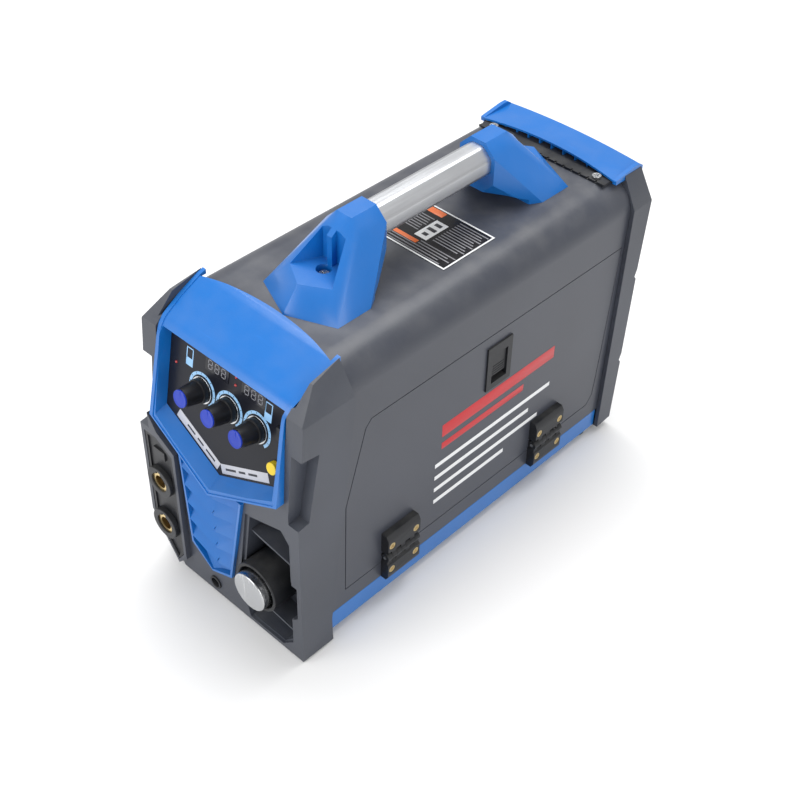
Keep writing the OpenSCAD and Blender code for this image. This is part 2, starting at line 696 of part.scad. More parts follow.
module fan_guard() color(steel) {
  for (r = [12, 22, 32, 42]) ring_y(fan_x, 234, 236, fan_z, r, r - 2);
  difference() {
    for (a = [0, 45, 90, 135]) translate([fan_x, 233, fan_z]) rotate([0, a, 0])
      box(-42, 42, 0, 2, -1, 1);
    rod_y(fan_x, 231, 240, fan_z, 9.9);
  }
  rod_y(fan_x, 233, 236, fan_z, 10.2);
  for (sx = [-1, 1], sz = [-1, 1])
    translate([fan_x + sx * (fan_size / 2 - 5), 0, fan_z + sz * (fan_size / 2 - 5)]) {
      translate([0, 231.02, 0]) rotate([-90, 0, 0]) cylinder(h = 3, r = 4);
      rotate([0, -sx * sz * 45 + (sx < 0 ? 180 : 0), 0]) box(-13, 0, 233, 235, -1, 1);
      rod_y(0, 214, 232, 0, 2.1);
    }
}

module fan_frame() color(black) translate([fan_x, 0, fan_z]) difference() {
  along_y(203, rear_y - 0.02) translate([-fan_size / 2, -fan_size / 2]) square(fan_size);
  rod_y(0, 209, 240, 0, fan_size / 2 - 2);
  difference() {
    rod_y(0, 200, 210, 0, fan_size / 2 - 2);
    for (a = [0 : 60 : 150]) rotate([0, a, 0]) box(-50, 50, 203, 206, -2, 2);
    rod_y(0, 203, 206, 0, 16);
  }
  rod_y(0, 200, 207, 0, 2.05);
  for (sx = [-1, 1], sz = [-1, 1])
    rod_y(sx * (fan_size / 2 - 5), 200, 240, sz * (fan_size / 2 - 5), 2.2);
}

module fan_rotor() color(black) translate([fan_x, 0, fan_z]) {
  rod_y(0, 207, 225, 0, 17);
  rod_y(0, 203, 208, 0, 2);
  for (a = [0 : 360 / 7 : 359]) rotate([0, a, 0]) translate([15, 216, 0]) rotate([32, 0, 0])
    box(0, fan_size / 2 - 19, -1, 1, -10, 10);
}

module power_switch() color([0.75, 0.12, 0.1]) {
  along_x(switch_x - 8, switch_x + 8) polygon([[224, switch_z - 11], [235, switch_z - 11],
                                               [233, switch_z], [235, switch_z + 11],
                                               [224, switch_z + 11]]);
  rod_x(switch_x - 8.3, switch_x + 8.3, 228.5, switch_z, 1.5);
}

module cable_gland() color(black) difference() {
  union() {
    rod_y(gland_x, 220, 246, gland_z, 10);
    translate([gland_x, rear_y + 3.02, gland_z]) rotate([-90, 0, 0]) cylinder(h = 6, r = 15, $fn = 6);
    translate([gland_x, rear_y - 6.02, gland_z]) rotate([-90, 0, 0]) cylinder(h = 6, r = 14, $fn = 6);
    rod_y(gland_x, 240, 250, gland_z, 11.5);
  }
  rod_y(gland_x, 210, 260, gland_z, 5.5);
}

module gas_inlet() color(brass) difference() {
  union() {
    rod_y(gas_x, 222, 238, gas_z, 6);
    translate([gas_x, rear_y + 3.02, gas_z]) rotate([-90, 0, 0]) cylinder(h = 5, r = 9, $fn = 6);
    rod_y(gas_x, 236, 250, gas_z, 4);
  }
  rod_y(gas_x, 210, 260, gas_z, 2.2);
}

// ---- Electronics ----

module partition_plate() color(steel) {
  difference() {
    union() {
      box(wall_x, wall_x + wall_t, -165, 205, foot_h + 3.02, 316);
      box(wall_x, wall_x + 12, -165, 205, foot_h + 3.02, foot_h + 5);
    }
    for (i = [0 : 5]) box(wall_x - 1, wall_x + wall_t + 1, -150 + 12 * i, -144 + 12 * i, 230, 290);
    rod_x(wall_x - 1, wall_x + wall_t + 1, feeder_y, feeder_z, 8.1);
  }
  // fixed spool axle
  rod_x(wall_x + wall_t - e, wall_x + 70, spool_y, spool_z, 7);
  rod_x(wall_x + wall_t - e, wall_x + 9, spool_y, spool_z, 16);
}

module heat_sinks() color(steel) for (y = [-80, 40]) translate([0, y, 0]) {
  box(-88, -24, 0, 84, foot_h + 3.02, 24);
  for (i = [0 : 7]) box(-88 + i * 8.8, -86 + i * 8.8, 0, 84, 24 - e, 84);
}

module inverter_board() color(board) {
  box(-90, -6, -120, 150, 112, 113.8);
  for (y = [-90, -52, -14, 24]) translate([-64, y, 113.8 - e]) cylinder(h = 44, r = 15);
  for (y = [-96, -58, -20]) box(-36, -12, y, y + 22, 113.7, 140);
  for (x = [-84, -12], y = [-114, 144]) translate([x, y, foot_h + 3.04]) cylinder(h = 99, r = 3);
}

module transformer() color(copper) translate([-42, 96, 114]) {
  difference() {
    box(-26, 26, -22, 22, 0, 50);
    box(-16, -6, -23, 23, 8, 42);
    box(6, 16, -23, 23, 8, 42);
  }
  box(-15.8, -6.2, -28, 28, 8.2, 41.8);
  box(6.2, 15.8, -28, 28, 8.2, 41.8);
}

// ---- Wire feed ----

module spool() color([0.13, 0.13, 0.14]) difference() {
  union() {
    rod_x(spool_x0, spool_x0 + 3, spool_y, spool_z, spool_r);
    rod_x(spool_x0 + spool_w - 3, spool_x0 + spool_w, spool_y, spool_z, spool_r);
    rod_x(spool_x0, spool_x0 + spool_w, spool_y, spool_z, hub_r + 20);
  }
  rod_x(spool_x0 - 1, spool_x0 + spool_w + 1, spool_y, spool_z, hub_r + 0.3);
  for (a = [0 : 60 : 359]) translate([0, spool_y, spool_z]) rotate([a, 0, 0])
    rod_x(spool_x0 - 1, spool_x0 + spool_w + 1, 0, 72, 14);
}

module wire_coil() color(copper) difference() {
  rod_x(spool_x0 + 3.05, spool_x0 + spool_w - 3.05, spool_y, spool_z, spool_r - 10);
  rod_x(spool_x0, spool_x0 + spool_w, spool_y, spool_z, hub_r + 20.05);
}

module spool_hub() color(black) difference() {
  union() {
    rod_x(spool_x0 - 1.5, spool_x0 + spool_w + 3, spool_y, spool_z, hub_r);
    rod_x(spool_x0 - 1.6, spool_x0 - 0.3, spool_y, spool_z, hub_r + 8);
  }
  rod_x(spool_x0 - 2, spool_x0 + spool_w + 4, spool_y, spool_z, 7.05);
}

module spool_nut() color(black) difference() {
  translate([spool_x0 + spool_w + 3.05, spool_y, spool_z]) rotate([0, 90, 0]) {
    cylinder(h = 5, r = 30);
    for (a = [0 : 60 : 359]) rotate(a) translate([30, 0, 0]) cylinder(h = 5, r = 6);
  }
  rod_x(spool_x0 + spool_w, spool_x0 + spool_w + 12, spool_y, spool_z, 7.3);
}

// Upright plate of the wire feeder: it carries the arm's pivot, the guide blocks and the
// lug that the tension screw turns in.
module feeder_plate() color(steel) difference() {
  union() {
    box(wall_x + wall_t + 0.02, plate_x + 6, -150, -20, 18, 24);
    box(plate_x, plate_x + 6, -150, -20, 18, 108);
    rod_x(plate_x, arm_x + 8, arm_y, arm_z, 4);
    for (y = guide_ys) box(plate_x, roll_x0 + roll_w, y - 6, y + 6, torch_z - 8, torch_z + 7);
    box(plate_x, arm_x + 10, tension_y - 8, tension_y + 8, torch_z + 9, torch_z + 17);
  }
  rod_x(plate_x - 1, plate_x + 7, feeder_y, feeder_z, 6);
  for (y = guide_ys) rod_y(torch_x, y - 7, y + 7, torch_z, 3.02);
  translate([tension_x, tension_y, 60]) cylinder(h = 60, r = 3.05);
}

// Motor with its gear case, which ends in the bearing of the drive shaft.
module feed_motor() color([0.3, 0.3, 0.32]) difference() {
  union() {
    rod_x(-18, wall_x - 0.05, feeder_y, feeder_z, 26);
    rod_x(-22, -18 + e, feeder_y, feeder_z, 9);
    box(wall_x + wall_t + 0.05, plate_x - 0.05, feeder_y - 24, feeder_y + 24,
        feeder_z - 22, feeder_z + 20);
    rod_x(wall_x - 0.1, wall_x + wall_t + 0.1, feeder_y, feeder_z, 8);
  }
  rod_x(wall_x, plate_x + 1, feeder_y, feeder_z, 4.05);
}

module drive_roll() color(steel) difference() {
  union() {
    rod_x(roll_x0, roll_x0 + roll_w, feeder_y, feeder_z, roll_r);
    rod_x(roll_x0 + roll_w - e, roll_x0 + roll_w + 4, feeder_y, feeder_z, 8);
    rod_x(wall_x + 1, roll_x0 + e, feeder_y, feeder_z, 4);
  }
  // groove that the wire runs in
  ring_x(torch_x - 0.6, torch_x + 0.6, feeder_y, feeder_z, roll_r + 1, roll_r - 0.6);
}

module ring_x(x0, x1, y, z, r_out, r_in) difference() {
  rod_x(x0, x1, y, z, r_out);
  rod_x(x0 - 1, x1 + 1, y, z, r_in);
}

module pressure_arm() color(dark) difference() {
  union() {
    along_x(arm_x, arm_x + 6) polygon([[arm_y - 8, arm_z - 7], [arm_y + 20, arm_z - 7],
                                       [tension_y + 8, arm_z + 4], [tension_y + 8, arm_z + 14],
                                       [arm_y, arm_z + 10], [arm_y - 8, arm_z + 5]]);
    box(arm_x - 2, arm_x + 12, tension_y - 8, tension_y + 8, arm_z + 6, arm_z + 14);
    // axle of the pressure roll, on a lug that hangs below the arm
    box(arm_x, arm_x + 6, feeder_y - 8, feeder_y + 8, press_z - 5, press_z + 8);
    rod_x(roll_x0 - 0.5, arm_x + e, feeder_y, press_z, 4);
    rod_x(arm_x - 2.8, arm_x + e, feeder_y, press_z, 6);
  }
  rod_x(arm_x - 1, arm_x + 7, arm_y, arm_z, 4.05);
  box(tension_x - 3.6, tension_x + 3.6, tension_y - 3.8, tension_y + 9, arm_z - 4, arm_z + 15);
}

module pressure_roll() color(steel) difference() {
  rod_x(roll_x0, roll_x0 + roll_w, feeder_y, press_z, roll_r);
  rod_x(roll_x0 - 1, roll_x0 + roll_w + 1, feeder_y, press_z, 4.05);
}

// Knurled knob on the screw that presses the arm down.
module tension_knob() color(black) translate([tension_x, tension_y, 0]) {
  translate([0, 0, torch_z + 8]) cylinder(h = 56, r = 3);
  translate([0, 0, arm_z + 17]) cylinder(h = 10, r = 6.5);
  difference() {
    translate([0, 0, arm_z + 26]) cylinder(h = 24, r = 9.5);
    for (a = [0 : 30 : 359]) rotate(a) translate([10.2, 0, arm_z + 20]) cylinder(h = 40, r = 1.6);
  }
}

module wire_guides() color(brass) difference() {
  union() {
    rod_y(torch_x, -149.9, feeder_y - 14, torch_z, 3);
    rod_y(torch_x, feeder_y + 14, -14, torch_z, 3);
    translate([torch_x, -14 - e, torch_z]) rotate([-90, 0, 0]) cylinder(h = 6, r1 = 3, r2 = 5);
  }
  rod_y(torch_x, -160, 0, torch_z, 1.2);
}

base_tray();
shell_cover();
front_frame();
rear_frame();
front_bezel();
front_grille();
control_fascia();
display_windows();
knob_left();
knob_middle();
knob_right();
knob_collars();
test_button();
mode_switch();
socket_panel();
socket_rings();
socket_sleeves();
torch_flange();
torch_connector();
torch_cap();
control_socket();
handle_tube();
handle_foot_front();
handle_foot_rear();
top_screws();
door();
latch_frame();
latch_paddle();
hinge_leaves_body();
hinge_leaves_door();
hinge_pins();
hinge_screws_body();
hinge_screws_door();
label_plate();
rear_cap();
vent_strip();
rear_panel();
fan_guard();
fan_frame();
fan_rotor();
power_switch();
cable_gland();
gas_inlet();
partition_plate();
heat_sinks();
inverter_board();
transformer();
control_board();
spool();
wire_coil();
spool_hub();
spool_nut();
feeder_plate();
feed_motor();
drive_roll();
pressure_arm();
pressure_roll();
tension_knob();
wire_guides();
rubber_feet();
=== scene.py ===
# %% [markdown]
# # A portable wire-feed welding machine
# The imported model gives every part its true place, so this lesson never guesses where a
# piece goes. It loads that frame first, and then works on looks: camera and light, soft
# edges, small printed details, and at last the finishes.

import json
from math import cos, pi, radians, sin

import bpy
from mathutils import Matrix, Vector


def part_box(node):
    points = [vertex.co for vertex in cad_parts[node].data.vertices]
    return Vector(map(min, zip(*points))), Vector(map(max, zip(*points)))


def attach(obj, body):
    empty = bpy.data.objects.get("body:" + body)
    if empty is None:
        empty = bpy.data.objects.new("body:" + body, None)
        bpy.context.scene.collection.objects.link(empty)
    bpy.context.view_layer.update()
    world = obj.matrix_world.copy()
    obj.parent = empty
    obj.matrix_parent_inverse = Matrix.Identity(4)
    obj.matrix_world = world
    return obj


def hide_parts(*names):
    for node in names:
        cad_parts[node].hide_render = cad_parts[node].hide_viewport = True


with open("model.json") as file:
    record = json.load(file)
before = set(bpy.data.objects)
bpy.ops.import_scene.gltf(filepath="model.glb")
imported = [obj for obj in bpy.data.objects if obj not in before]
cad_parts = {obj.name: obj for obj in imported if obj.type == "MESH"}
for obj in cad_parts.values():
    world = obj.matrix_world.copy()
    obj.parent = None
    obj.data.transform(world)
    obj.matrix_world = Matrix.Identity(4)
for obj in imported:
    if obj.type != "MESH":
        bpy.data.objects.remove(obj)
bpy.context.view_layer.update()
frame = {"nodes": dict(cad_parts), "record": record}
MM = 0.001

# %% [markdown]
# The camera looks down at the front left of the machine, from a little over arm's length.
# It could be turned by trial, but three angles and a distance say it more plainly: the
# camera stands on a sphere round a target point, and a small roll levels the view.

# %% Camera
TURN = radians(42.84)
RISE = radians(41.79)
ROLL = radians(1.40)
DISTANCE = 1.4011
TARGET = Vector((-0.00858, 0.0102, 0.10641))

back = Vector((sin(TURN) * cos(RISE), -cos(TURN) * cos(RISE), sin(RISE)))
side = Vector((cos(TURN), sin(TURN), 0.0))
above = back.cross(side)
right = side * cos(ROLL) + above * sin(ROLL)
up = above * cos(ROLL) - side * sin(ROLL)
place = TARGET + back * DISTANCE

camera_data = bpy.data.cameras.new("camera")
camera_data.sensor_width = 36.0
camera_data.lens = 61.3
camera = bpy.data.objects.new("camera", camera_data)
bpy.context.scene.collection.objects.link(camera)
camera.matrix_world = Matrix(((right.x, up.x, back.x, place.x), (right.y, up.y, back.y, place.y),
                              (right.z, up.z, back.z, place.z), (0, 0, 0, 1)))
bpy.context.scene.camera = camera
bpy.context.scene.view_settings.view_transform = "Standard"
print("camera at", [round(v, 3) for v in place])

# %% [markdown]
# A product stands best on a pale floor under large soft lamps. The strongest one overhead
# gives the rounded top its long highlight, one from the front left lifts the panel, and a
# weaker one from the right keeps the door readable.

# %% Floor and lamps
def clear_selection():
    if bpy.context.object and bpy.context.object.mode != "OBJECT":
        bpy.ops.object.mode_set(mode="OBJECT")
    bpy.ops.object.select_all(action="DESELECT")


def lamp(name, at, size, power, tint=(1.0, 1.0, 1.0)):
    data = bpy.data.lights.new(name, "AREA")
    data.shape = "RECTANGLE"
    data.size, data.size_y = size
    data.energy = power
    data.color = tint
    thing = bpy.data.objects.new(name, data)
    bpy.context.scene.collection.objects.link(thing)
    thing.location = at
    thing.rotation_euler = (Vector(at) - Vector((0, 0, 0.15))).to_track_quat("Z", "Y").to_euler()
    return thing


lamp("lamp_overhead", (-0.3, 0.5, 1.9), (1.8, 1.2), 34)
lamp("lamp_front", (-0.5, -1.9, 1.1), (1.4, 1.2), 22)
lamp("lamp_right", (2.0, -0.6, 1.0), (1.2, 1.4), 17)

clear_selection()
bpy.ops.mesh.primitive_plane_add(size=12, location=(0, 0, 0))
floor = bpy.context.object
floor.name = "floor"

world = bpy.data.worlds.new("studio")
bpy.context.scene.world = world
world.use_nodes = True
world.node_tree.nodes["Background"].inputs["Color"].default_value = (1.0, 1.0, 1.0, 1.0)
world.node_tree.nodes["Background"].inputs["Strength"].default_value = 0.62
print("three lamps and a floor")

# %% [markdown]
# Modelled parts have knife-sharp edges, and nothing looks more like a drawing than that. A
# bevel modifier on a merged copy of the part gives each edge a narrow round that catches
# the light. Its width is chosen for each part: moulded plastic is rounder than folded sheet.
# Weighted normals then keep the large flat faces flat, so that only the bevels look round.

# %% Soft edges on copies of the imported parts
BODY_OF = {node: body for body, nodes in frame["record"]["behaviour"]["bodies"].items()
           for node in nodes}
SLOT_OF = {part["node"]: part["material_slot"] for part in frame["record"]["subparts"]}


def make_active(piece):
    clear_selection()
    piece.select_set(True)
    bpy.context.view_layer.objects.active = piece


def apply_modifier(piece, kind, **settings):
    make_active(piece)
    modifier = piece.modifiers.new(kind.lower(), kind)
    for key, value in settings.items():
        setattr(modifier, key, value)
    bpy.ops.object.modifier_apply(modifier=modifier.name)


def soften(node, width, segments=2):
    source = frame["nodes"][node]
    piece = bpy.data.objects.new(node + "_soft", source.data.copy())
    bpy.context.scene.collection.objects.link(piece)
    make_active(piece)
    bpy.ops.object.mode_set(mode="EDIT")
    bpy.ops.mesh.select_all(action="SELECT")
    bpy.ops.mesh.remove_doubles(threshold=0.01 * MM)
    bpy.ops.mesh.dissolve_limited(angle_limit=radians(0.5))
    bpy.ops.object.mode_set(mode="OBJECT")
    apply_modifier(piece, "BEVEL", width=width * MM, segments=segments, limit_method="ANGLE",
                   angle_limit=radians(32), use_clamp_overlap=True, harden_normals=False)
    make_active(piece)
    bpy.ops.object.shade_smooth_by_angle(angle=radians(38))
    apply_modifier(piece, "WEIGHTED_NORMAL", keep_sharp=True, weight=90)
    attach(piece, BODY_OF[node])
    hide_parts(node)
    return piece


EDGE_WIDTHS = {
    "front_frame": 1.0, "rear_frame": 1.0, "front_bezel": 0.9, "front_grille": 0.5,
    "socket_panel": 0.7, "rear_cap": 0.8, "handle_foot_front": 1.4, "handle_foot_rear": 1.4,
    "handle_tube": 0.5, "base_tray": 0.8, "shell_cover": 0.3, "door": 0.4, "latch_frame": 0.7,
    "latch_paddle": 0.3, "socket_rings": 0.8, "torch_flange": 1.0, "torch_cap": 1.2,
    "torch_connector": 0.5, "knob_left": 0.6, "knob_middle": 0.6, "knob_right": 0.6,
    "knob_collars": 0.3, "test_button": 1.0, "mode_switch": 0.4, "vent_strip": 0.3,
    "top_screws": 0.3, "hinge_leaves_body": 0.5, "hinge_leaves_door": 0.5, "label_plate": 0.15,
    "rubber_feet": 0.8, "power_switch": 0.8, "cable_gland": 0.7, "gas_inlet": 0.4,
    "tension_knob": 0.6, "pressure_arm": 0.8, "spool": 0.7, "spool_nut": 1.0, "rear_panel": 0.5,
}
soft = {node: soften(node, width) for node, width in EDGE_WIDTHS.items()}
print(len(soft), "parts with soft edges,", sum(len(p.data.polygons) for p in soft.values()), "faces")

# %% [markdown]
# Most small details are flat shapes with a rounded rim: marks, bars, segments. They could be
# drawn in a shader, but real print and inlays stand a little proud, and a thin solid keeps
# its edge sharp in every view. One helper makes a bevelled bar, another a piece of a ring.

# %% Helpers for thin inlays
PRINT = 0.16            # thickness of print, mm
FILM = 0.12             # thickness of label film, mm
RAISED = 0.24           # dark marks on top of print, mm
LIFT = 0.02             # gap that keeps print clear of its panel, mm


def bar(name, width, height, thick, at=(0, 0), turn=0.0, round_off=0.25):
    clear_selection()
    bpy.ops.mesh.primitive_cube_add(size=1, location=(at[0] * MM, at[1] * MM, thick / 2 * MM))
    piece = bpy.context.object
    piece.name = name
    piece.scale = (width * MM, height * MM, thick * MM)
    piece.rotation_euler = (0, 0, turn)
    bpy.ops.object.transform_apply(location=True, rotation=True, scale=True)
    apply_modifier(piece, "BEVEL", width=min(width, height, thick * 2) * round_off * MM,
                   segments=2, limit_method="ANGLE")
    return piece


def ring_piece(name, inner, outer, thick, first, last, at=(0, 0)):
    """Part of a flat ring, from one angle to another, anticlockwise from +X."""
    clear_selection()
    bpy.ops.mesh.primitive_circle_add(vertices=96, radius=inner * MM, fill_type="NOTHING")
    piece = bpy.context.object
    piece.name = name
    bpy.ops.object.mode_set(mode="EDIT")
    bpy.ops.mesh.select_all(action="SELECT")
    bpy.ops.mesh.extrude_edges_move()
    bpy.ops.transform.resize(value=(outer / inner, outer / inner, 1))
    bpy.ops.mesh.select_mode(type="FACE")
    bpy.ops.mesh.select_all(action="DESELECT")
    bpy.ops.object.mode_set(mode="OBJECT")
    for face in piece.data.polygons:
        angle = Vector((1, 0)).angle_signed(face.center.xy, 0) * -1
        angle = angle if angle > first else angle + 2 * pi
        face.select = not first <= angle <= last
    bpy.ops.object.mode_set(mode="EDIT")
    bpy.ops.mesh.delete(type="FACE")
    bpy.ops.mesh.select_all(action="SELECT")
    bpy.ops.mesh.normals_make_consistent(inside=False)
    bpy.ops.object.mode_set(mode="OBJECT")
    apply_modifier(piece, "SOLIDIFY", thickness=thick * MM, offset=0)
    piece.location = (at[0] * MM, at[1] * MM, thick / 2 * MM)
    return piece


def join(pieces, name):
    clear_selection()
    for piece in pieces:
        piece.select_set(True)
    bpy.context.view_layer.objects.active = pieces[0]
    bpy.ops.object.join()
    pieces[0].name = name
    return pieces[0]


def settle(piece, matrix, body):
    """Puts a piece that was made flat on the floor in its real place, and fixes it there."""
    make_active(piece)
    bpy.ops.object.transform_apply(location=True, rotation=True, scale=True)
    piece.matrix_world = matrix
    bpy.ops.object.transform_apply(location=True, rotation=True, scale=True)
    bpy.ops.object.mode_set(mode="EDIT")
    bpy.ops.mesh.select_all(action="SELECT")
    bpy.ops.mesh.normals_make_consistent(inside=False)
    bpy.ops.object.mode_set(mode="OBJECT")
    bpy.ops.object.shade_smooth_by_angle(angle=radians(35))
    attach(piece, body)
    return piece


LEAN = radians(11)       # the panel leans back by this much
PANEL_AT = Vector((0, -219.5, 249)) * MM


def on_panel(u=0.0, v=0.0, w=0.0):
    """The leaning panel's own frame: u to the right, v up the panel, w out of it."""
    turned = Matrix(((1, 0, 0, 0), (0, sin(LEAN), -cos(LEAN), 0), (0, cos(LEAN), sin(LEAN), 0),
                     (0, 0, 0, 1)))
    return Matrix.Translation(PANEL_AT) @ turned @ Matrix.Translation(Vector((u, v, w)) * MM)


print("helpers ready")

# %% [markdown]
# Each knob ends in a coloured cap with a raised pointer line. A cylinder is the start; its top face
# is inset and sunk a little, as a pressed-in cap is, and a bevel rounds its rim.

# %% Knob caps and pointers
KNOBS = {"knob_left": -32, "knob_middle": 4, "knob_right": 40}
KNOB_TOP = 24.0
caps = {}
for body, u in KNOBS.items():
    clear_selection()
    bpy.ops.mesh.primitive_cylinder_add(vertices=48, radius=8.3 * MM, depth=1.8 * MM,
                                        location=(0, 0, 0.7 * MM))
    cap = bpy.context.object
    cap.name = body + "_cap"
    bpy.ops.object.transform_apply(location=True, rotation=False, scale=False)
    bpy.ops.object.mode_set(mode="EDIT")
    bpy.ops.mesh.select_mode(type="FACE")
    bpy.ops.mesh.select_all(action="DESELECT")
    bpy.ops.object.mode_set(mode="OBJECT")
    for face in cap.data.polygons:
        face.select = face.normal.z > 0.9
    bpy.ops.object.mode_set(mode="EDIT")
    bpy.ops.mesh.inset(thickness=1.1 * MM, depth=-0.35 * MM)
    bpy.ops.mesh.inset(thickness=2.5 * MM, depth=0.2 * MM)
    bpy.ops.object.mode_set(mode="OBJECT")
    apply_modifier(cap, "BEVEL", width=0.25 * MM, segments=2, limit_method="ANGLE")
    caps[body] = settle(cap, on_panel(u, 0, KNOB_TOP), body)
    pointer = bar(body + "_pointer", 1.1, 6.0, 0.5, at=(0, 5.0))
    settle(pointer, on_panel(u, 0, KNOB_TOP + 1.2), body)
print(len(caps), "knob caps")

# %% [markdown]
# Round each knob the panel carries a pale scale: a broad arc that opens downwards, divided by
# dark ticks. The arc is a piece of a flat ring, and one tick is copied round it by turning it.

# %% Dial scales
FIRST, LAST = -48, 198   # the ends of a scale, in degrees from +u
TICKS = 10
dials, ticks = [], []
for u in KNOBS.values():
    dials.append(ring_piece("arc", 14.3, 17.2, PRINT, radians(FIRST), radians(LAST), at=(u, 0)))
    for step in range(1, TICKS):
        angle = radians(FIRST + (LAST - FIRST) * step / TICKS)
        ticks.append(bar("tick", 1.7, 0.6, RAISED, turn=angle,
                         at=(u + 16.0 * cos(angle), 16.0 * sin(angle))))
scales = settle(join(dials, "dial_scales"), on_panel(w=LIFT), "cabinet")
settle(join(ticks, "dial_ticks"), on_panel(w=LIFT), "cabinet")
print("dial scales:", len(scales.data.polygons), "faces")

# %% [markdown]
# Two small displays show numbers with seven bars per digit. One bar is modelled and copied
# to its seven places; unlit bars are grey, which is how such a display looks when it is off.

# %% Display digits
WINDOWS = (-15, 32)
WINDOW_UP = 31
WINDOW_LIFT = 0.62      # the windows stand this far out of the panel
DIGIT_TALL = 4.3        # from a digit's middle bar to its top bar
segments = []
for u in WINDOWS:
    for place_in_row in (-8.6, 0.0, 8.6):
        middle = u + place_in_row
        for dv in (-DIGIT_TALL, 0, DIGIT_TALL):
            segments.append(bar("segment", 3.9, 0.95, FILM, at=(middle, WINDOW_UP + dv)))
        for du in (-2.45, 2.45):
            for dv in (-DIGIT_TALL / 2, DIGIT_TALL / 2):
                segments.append(bar("segment", 0.95, 3.5, FILM,
                                    at=(middle + du, WINDOW_UP + dv)))
digits = settle(join(segments, "display_digits"), on_panel(w=WINDOW_LIFT), "cabinet")
print("digits:", len(digits.data.polygons), "faces")

# %% [markdown]
# The rest of the panel's print is plain: a bright two-part strip that follows the pointed
# lower edge, with dark bars where words would stand, little symbols beside the displays, and
# three signal lamps.

# %% Panel print and signal lamps
FALL = radians(23.8)     # slope of the panel's pointed lower edge
strip = []
for s in (-1, 1):
    strip.append(bar("strip", 64, 9.5, PRINT, turn=s * FALL, at=(s * 31, -52.7)))
settle(join(strip, "panel_strip"), on_panel(w=LIFT), "cabinet")

words = []
for start, long in ((8, 14), (26, 9), (39, 12)):
    for s in (-1, 1):
        middle = start + long / 2
        words.append(bar("word", long, 2.2, RAISED, turn=s * FALL,
                         at=(s * middle * cos(FALL), middle * sin(FALL) - 66.4)))
settle(join(words, "panel_words"), on_panel(w=LIFT), "cabinet")

symbols = []
for u in (-51, 51):
    symbols.append(bar("foot", 9, 8, PRINT, at=(u, 19)))
    for du in (-4, 4):
        symbols.append(bar("side", 1.1, 11, PRINT, at=(u + du, 28)))
    symbols.append(bar("top", 9, 1.1, PRINT, at=(u, 33)))
settle(join(symbols, "panel_symbols"), on_panel(w=LIFT), "cabinet")

lights = []
for u, v in ((9, 36), (9, 28), (-68, 10)):
    clear_selection()
    bpy.ops.mesh.primitive_uv_sphere_add(segments=24, ring_count=12, radius=1.3 * MM,
                                         location=(u * MM, v * MM, 0))
    bulb = bpy.context.object
    bpy.ops.object.mode_set(mode="EDIT")
    bpy.ops.mesh.select_all(action="SELECT")
    bpy.ops.mesh.bisect(plane_co=(0, 0, 0), plane_no=(0, 0, 1), clear_inner=True, use_fill=True)
    bpy.ops.object.mode_set(mode="OBJECT")
    lights.append(bulb)
settle(join(lights, "signal_lamps"), on_panel(w=LIFT), "cabinet")
print("panel print done")

# %% [markdown]
# The top carries a black information label. Its print is made generic: a pale border, two warm
# bars, a light box with dark marks, and rows of grey lines where words would stand.

# %% Label print
label_low, label_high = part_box("label_plate")
label_mid = (label_low + label_high) / 2
label_top = Matrix.Translation((label_mid.x, label_mid.y, label_high.z))
wide, deep = [(b - a) / MM for a, b in zip(label_low.xy, label_high.xy)]

EDGE = 1.8              # width of the label's border, mm
border = [bar("box", 15, 31, FILM, at=(-10.5, 2.5))]
for s in (-1, 1):
    border.append(bar("edge", wide, EDGE, FILM, at=(0, s * (deep - EDGE) / 2)))
    border.append(bar("edge", EDGE, deep - 2 * EDGE, FILM, at=(s * (wide - EDGE) / 2, 0)))
settle(join(border, "label_border"), label_top, "cabinet")

marks = [bar("mark", long, 4.5, 0.2, at=(-10.5, up)) for long, up in ((8, 12), (10, 3), (6, -6))]
settle(join(marks, "label_marks"), label_top, "cabinet")

warm = [bar("band", 19, 8, FILM, at=(-wide / 2 + 12, deep / 2 - 7)),
        bar("band", 29, 5, FILM, at=(-wide / 2 + 17, -deep / 2 + 15))]
settle(join(warm, "label_bands"), label_top, "cabinet")

lines = []
for left, longest, top, rows in ((1, 35, 29, 11), (-37, 17, 17, 7), (-6, 42, -16.5, 2),
                                 (-37, 72, -24, 3)):
    for k in range(rows):
        long = longest * (1, 0.86, 0.93)[k % 3]
        lines.append(bar("line", long, 1.3, FILM, at=(left + long / 2, top - 3.7 * k)))
settle(join(lines, "label_lines"), label_top, "cabinet")
print("label", round(wide), "by", round(deep), "mm")

# %% [markdown]
# The door carries coloured stripes, in place of any name. They are plain bars,
# modelled flat. The door's own frame maps the flat drawing onto its outer face.

# %% Door stripes
DOOR_FACE = Matrix(((0, 0, 1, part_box("door")[1].x), (1, 0, 0, 0), (0, 1, 0, 0), (0, 0, 0, 1)))
red = [bar("stripe", 166, 15, FILM, at=(37, 170)), bar("stripe", 120, 8, FILM, at=(14, 151))]
white = [bar("stripe", length, 5, FILM, at=(length / 2 - 54, up))
         for length, up in ((172, 129), (140, 113), (156, 97), (104, 81))]
settle(join(red, "door_stripes_red"), DOOR_FACE, "door")
settle(join(white, "door_stripes_white"), DOOR_FACE, "door")
print("door stripes done")

# %% [markdown]
# # Finishes
# No real surface is one colour. Four small effects are shared by all finishes: a slow drift
# of colour, a fine moulded grain, scuffs, and dust that settles on faces that look up. Each
# is a node group with its own inputs, so one effect can be tuned differently on every part.

# %% Shared effects
def new_group(name, inputs, outputs):
    group = bpy.data.node_groups.new(name, "ShaderNodeTree")
    for label, kind, value in inputs:
        socket = group.interface.new_socket(name=label, in_out="INPUT", socket_type=kind)
        socket.default_value = value
    for label, kind in outputs:
        group.interface.new_socket(name=label, in_out="OUTPUT", socket_type=kind)
    return group, group.nodes.new("NodeGroupInput"), group.nodes.new("NodeGroupOutput")


